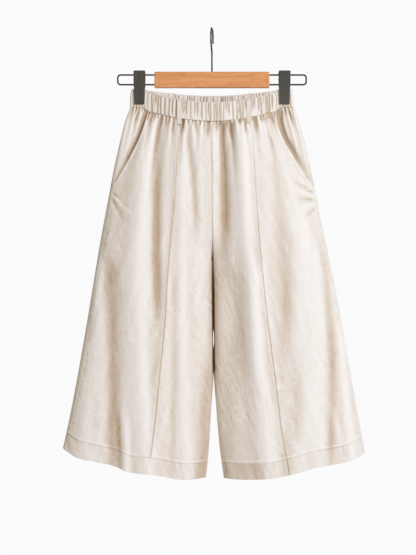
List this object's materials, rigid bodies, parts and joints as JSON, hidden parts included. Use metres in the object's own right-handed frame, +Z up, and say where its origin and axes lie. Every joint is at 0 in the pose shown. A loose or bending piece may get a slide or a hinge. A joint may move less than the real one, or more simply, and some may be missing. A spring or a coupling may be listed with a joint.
{
  "type": "cropped wide-leg pull-on trousers on a clip hanger",
  "caption": "Hollow cropped wide-leg cotton trousers with an elastic waist, slant pockets, belt loops and stitched tucks, hanging from a wooden clip hanger by its hook.",
  "frame": {"origin": "inside of the hook's crown, where the hook rests on a rail", "axes": "+X along the hanger's bar to the right of the front view, +Y from the front to the back, +Z up"},
  "size_m": [0.6045, 0.0906, 0.9017],
  "materials": {
    "twill": "matte off-white cotton twill with fine slubs, top-stitched in the same colour",
    "twill_casing": "the same twill, gathered over elastic",
    "beech": "warm beech, satin varnish",
    "brown_wire": "dark brown lacquered wire",
    "dark_clip": "matte dark grey powder coat",
    "steel": "plain bright steel wire"
  },
  "bodies": {
    "root": {"front_left": "twill", "leg_front_left": "twill", "front_right": "twill", "leg_front_right": "twill", "back_left": "twill", "leg_back_left": "twill", "back_right": "twill", "leg_back_right": "twill", "hip_left": "twill", "hip_right": "twill", "waistband_front": "twill_casing", "waistband_back": "twill_casing", "loop_front_left": "twill", "loop_front_right": "twill", "loop_back_left": "twill", "loop_back_right": "twill", "bar": "beech", "wire_left": "brown_wire", "wire_right": "brown_wire", "clip_left_front": "dark_clip", "clip_left_back": "dark_clip", "clip_left_pin": "steel", "clip_right_front": "dark_clip", "clip_right_back": "dark_clip", "clip_right_pin": "steel", "hook": "steel"}
  },
  "joints": []
}
